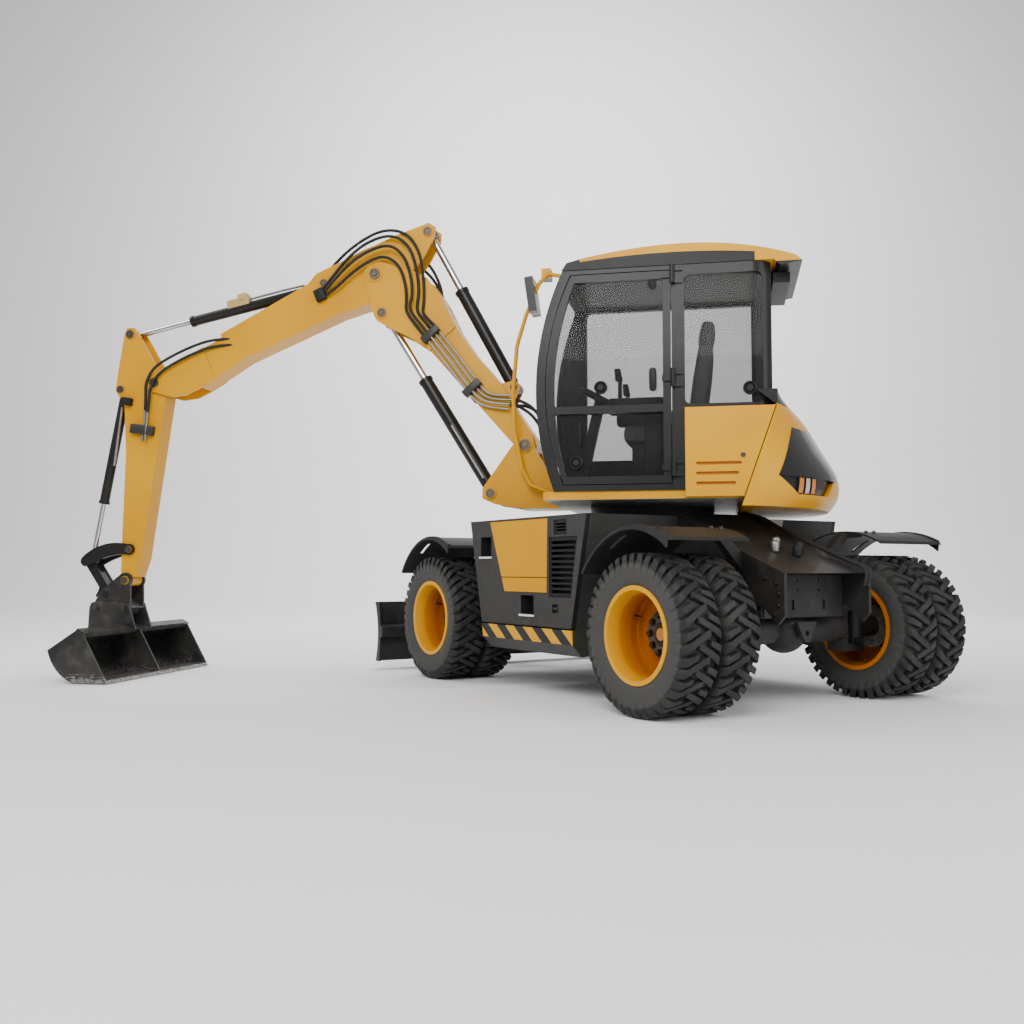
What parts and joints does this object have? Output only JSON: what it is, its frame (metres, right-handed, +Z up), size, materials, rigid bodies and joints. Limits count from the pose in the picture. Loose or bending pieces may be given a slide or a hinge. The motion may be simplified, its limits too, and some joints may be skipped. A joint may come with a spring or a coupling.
{
  "type": "wheeled excavator",
  "caption": "Compact wheeled excavator with twin tyres, turning cab, folding boom, wide grading bucket and dozer blade.",
  "frame": {"origin": "on the slew axis at ground level, midway between the axles", "axes": "+X to the undercarriage's forward end, where the blade is; +Y to its left; +Z up"},
  "size_m": [5.5365, 5.358, 3.6649],
  "materials": {
    "yellow_paint": "gloss",
    "dark_paint": "satin",
    "black_paint": "gloss",
    "grey_paint": "satin",
    "rod_chrome": "polished",
    "tyre_rubber": "matt",
    "cab_glass": "clear",
    "seat_fabric": "woven",
    "black_plastic": "satin",
    "lamp_plastic": "gloss"
  },
  "bodies": {
    "undercarriage": {"chassis_frame": "dark_paint", "slew_ring": "grey_paint", "axle_front": "dark_paint", "axle_rear": "dark_paint", "pod_left": "dark_paint", "pod_right": "dark_paint", "engine_block": "grey_paint", "fenders_front": "dark_paint", "fenders_rear": "dark_paint"},
    "pod_door_left": {"pod_door_left": "dark_paint", "pod_panel_left": "yellow_paint", "pod_grille_left": "black_paint"},
    "pod_door_right": {"pod_door_right": "dark_paint", "pod_panel_right": "yellow_paint", "pod_grille_right": "black_paint"},
    "blade": {"blade": "dark_paint"},
    "blade_barrel": {"blade_barrel": "black_paint"},
    "blade_rod": {"blade_rod": "rod_chrome"},
    "knuckle_front_left": {"knuckle_front_left": "dark_paint"},
    "wheel_front_left": {"tyres_front_left": "tyre_rubber", "rims_front_left": "yellow_paint"},
    "knuckle_front_right": {"knuckle_front_right": "dark_paint"},
    "wheel_front_right": {"tyres_front_right": "tyre_rubber", "rims_front_right": "yellow_paint"},
    "knuckle_rear_left": {"knuckle_rear_left": "dark_paint"},
    "wheel_rear_left": {"tyres_rear_left": "tyre_rubber", "rims_rear_left": "yellow_paint"},
    "knuckle_rear_right": {"knuckle_rear_right": "dark_paint"},
    "wheel_rear_right": {"tyres_rear_right": "tyre_rubber", "rims_rear_right": "yellow_paint"},
    "upper": {"upper_frame": "yellow_paint", "cab_frame": "black_paint", "cab_glass": "cab_glass", "cab_roof": "yellow_paint", "quarter_panel": "yellow_paint", "rear_cowl": "yellow_paint", "right_body": "yellow_paint", "seat": "seat_fabric", "controls": "black_plastic", "mirror_bar": "yellow_paint", "tail_lamps": "lamp_plastic", "rear_lamp_bar": "black_plastic"},
    "cab_door": {"cab_door": "black_paint", "cab_door_glass": "cab_glass"},
    "lower_boom": {"lower_boom": "yellow_paint"},
    "upper_boom": {"upper_boom": "yellow_paint"},
    "dipper": {"dipper": "yellow_paint"},
    "lever": {"lever": "black_paint"},
    "link": {"link": "black_paint"},
    "tool": {"quick_hitch": "black_paint", "bucket": "black_paint"},
    "lift_barrel": {"lift_barrel": "black_paint"},
    "lift_rod": {"lift_rod": "rod_chrome"},
    "fold_barrel": {"fold_barrel": "black_paint"},
    "fold_rod": {"fold_rod": "rod_chrome"},
    "crowd_barrel": {"crowd_barrel": "black_paint"},
    "crowd_rod": {"crowd_rod": "rod_chrome"},
    "tool_barrel": {"tool_barrel": "black_paint"},
    "tool_rod": {"tool_rod": "rod_chrome"}
  },
  "joints": [
    {"name": "steer_front_left", "type": "hinge", "parent": "undercarriage", "child": "knuckle_front_left", "pos_m": [1.325, 0.69, 0.49], "axis": [0, 0, 1], "range_deg": [-22, 22]},
    {"name": "wheel_front_left_spin", "type": "hinge", "parent": "knuckle_front_left", "child": "wheel_front_left", "pos_m": [1.325, 0.955, 0.49], "axis": [0, 1, 0], "continuous": true},
    {"name": "steer_front_right", "type": "hinge", "parent": "undercarriage", "child": "knuckle_front_right", "pos_m": [1.325, -0.69, 0.49], "axis": [0, 0, 1], "range_deg": [-22, 22]},
    {"name": "wheel_front_right_spin", "type": "hinge", "parent": "knuckle_front_right", "child": "wheel_front_right", "pos_m": [1.325, -0.955, 0.49], "axis": [0, 1, 0], "continuous": true},
    {"name": "steer_rear_left", "type": "hinge", "parent": "undercarriage", "child": "knuckle_rear_left", "pos_m": [-1.325, 0.69, 0.49], "axis": [0, 0, 1], "range_deg": [-22, 22]},
    {"name": "wheel_rear_left_spin", "type": "hinge", "parent": "knuckle_rear_left", "child": "wheel_rear_left", "pos_m": [-1.325, 0.955, 0.49], "axis": [0, 1, 0], "continuous": true},
    {"name": "steer_rear_right", "type": "hinge", "parent": "undercarriage", "child": "knuckle_rear_right", "pos_m": [-1.325, -0.69, 0.49], "axis": [0, 0, 1], "range_deg": [-22, 22]},
    {"name": "wheel_rear_right_spin", "type": "hinge", "parent": "knuckle_rear_right", "child": "wheel_rear_right", "pos_m": [-1.325, -0.955, 0.49], "axis": [0, 1, 0], "continuous": true},
    {"name": "pod_door_left_hinge", "type": "hinge", "parent": "undercarriage", "child": "pod_door_left", "pos_m": [0, 1.17, 1.245], "axis": [1, 0, 0], "range_deg": [0, 80]},
    {"name": "pod_door_right_hinge", "type": "hinge", "parent": "undercarriage", "child": "pod_door_right", "pos_m": [0, -1.17, 1.245], "axis": [-1, 0, 0], "range_deg": [0, 80]},
    {"name": "blade_lift", "type": "hinge", "parent": "undercarriage", "child": "blade", "pos_m": [1.58, 0, 0.565], "axis": [0, -1, 0], "range_deg": [-4, 28]},
    {"name": "blade_barrel_turn", "type": "hinge", "parent": "undercarriage", "child": "blade_barrel", "pos_m": [1.58, 0, 0.812], "axis": [0, -1, 0], "range_deg": [-4.02, 25.16]},
    {"name": "blade_rod_slide", "type": "slide", "parent": "blade_barrel", "child": "blade_rod", "axis": [0.8598, 0, -0.5107], "range_m": [-0.1163, 0.02]},
    {"name": "slew", "type": "hinge", "parent": "undercarriage", "child": "upper", "pos_m": [0, 0, 1.3], "axis": [0, 0, 1], "continuous": true},
    {"name": "cab_door_hinge", "type": "hinge", "parent": "upper", "child": "cab_door", "pos_m": [-1.00816, 0.64615, 2.1], "axis": [0, 0, 1], "range_deg": [0, 165]},
    {"name": "boom_lift", "type": "hinge", "parent": "upper", "child": "lower_boom", "pos_m": [0.65472, 0.7021, 1.84], "axis": [0.7314, -0.682, 0], "range_deg": [-67, 26]},
    {"name": "boom_fold", "type": "hinge", "parent": "lower_boom", "child": "upper_boom", "pos_m": [1.49982, 1.60836, 3.26047], "axis": [-0.7314, 0.682, 0], "range_deg": [-42, 28]},
    {"name": "dipper_swing", "type": "hinge", "parent": "upper_boom", "child": "dipper", "pos_m": [2.82959, 3.03437, 2.44883], "axis": [-0.7314, 0.682, 0], "range_deg": [-50, 75]},
    {"name": "bucket_curl", "type": "hinge", "parent": "dipper", "child": "tool", "pos_m": [2.99272, 3.2093, 0.78898], "axis": [-0.7314, 0.682, 0], "range_deg": [-50, 100]},
    {"name": "lift_barrel_turn", "type": "hinge", "parent": "upper", "child": "lift_barrel", "pos_m": [0.84227, 0.90322, 1.47], "axis": [0.7314, -0.682, 0], "range_deg": [-67.19, 26.38]},
    {"name": "lift_rod_slide", "type": "slide", "parent": "lift_barrel", "child": "lift_rod", "axis": [0.3572, 0.3831, 0.8519], "range_m": [-0.4697, 0.1847]},
    {"name": "fold_barrel_turn", "type": "hinge", "parent": "lower_boom", "child": "fold_barrel", "pos_m": [0.72956, 0.78236, 2.30959], "axis": [0.7314, -0.682, 0], "range_deg": [-0.84, 1.01]},
    {"name": "fold_rod_slide", "type": "slide", "parent": "fold_barrel", "child": "fold_rod", "axis": [0.3267, 0.3504, 0.8778], "range_m": [-0.3695, 0.2477]},
    {"name": "crowd_barrel_turn", "type": "hinge", "parent": "upper_boom", "child": "crowd_barrel", "pos_m": [1.80683, 1.93759, 3.22039], "axis": [0.7314, -0.682, 0], "range_deg": [-9.96, 6.81]},
    {"name": "crowd_rod_slide", "type": "slide", "parent": "crowd_barrel", "child": "crowd_rod", "axis": [0.6694, 0.7178, -0.1915], "range_m": [-0.3573, 0.5339]},
    {"name": "tool_barrel_turn", "type": "hinge", "parent": "dipper", "child": "tool_barrel", "pos_m": [3.05474, 3.27581, 2.40851], "axis": [0.7314, -0.682, 0], "range_deg": [-7.2, 3.85]},
    {"name": "tool_rod_slide", "type": "slide", "parent": "tool_barrel", "child": "tool_rod", "axis": [0.1289, 0.1383, -0.982], "range_m": [-0.1469, 0.2898]},
    {"name": "lever_turn", "type": "hinge", "parent": "dipper", "child": "lever", "pos_m": [2.97273, 3.18786, 1.04845], "axis": [0.7314, -0.682, 0], "range_deg": [-49.41, 24.96]},
    {"name": "link_turn", "type": "hinge", "parent": "tool", "child": "link", "pos_m": [3.11548, 3.34094, 0.66898], "axis": [0.7314, -0.682, 0], "range_deg": [-32.04, 63.58]}
  ],
  "couplings": [
    {"joint": "steer_front_right", "follows": "steer_front_left", "ratio": 1},
    {"joint": "steer_rear_right", "follows": "steer_rear_left", "ratio": 1},
    {"joint": "blade_barrel_turn", "follows": "blade_lift", "ratio": 0.88087},
    {"joint": "blade_rod_slide", "follows": "blade_lift", "m_per_rad": -0.2298},
    {"joint": "lift_barrel_turn", "follows": "boom_lift", "ratio": 0.99537},
    {"joint": "lift_rod_slide", "follows": "boom_lift", "m_per_rad": 0.39823},
    {"joint": "fold_barrel_turn", "follows": "boom_fold", "ratio": -0.012133},
    {"joint": "fold_rod_slide", "follows": "boom_fold", "m_per_rad": 0.49859},
    {"joint": "crowd_barrel_turn", "follows": "dipper_swing", "ratio": -0.12618},
    {"joint": "crowd_rod_slide", "follows": "dipper_swing", "m_per_rad": 0.40485},
    {"joint": "tool_barrel_turn", "follows": "bucket_curl", "ratio": -0.067004},
    {"joint": "tool_rod_slide", "follows": "bucket_curl", "m_per_rad": 0.16377},
    {"joint": "lever_turn", "follows": "bucket_curl", "ratio": -0.48914},
    {"joint": "link_turn", "follows": "bucket_curl", "ratio": 0.63083}
  ]
}
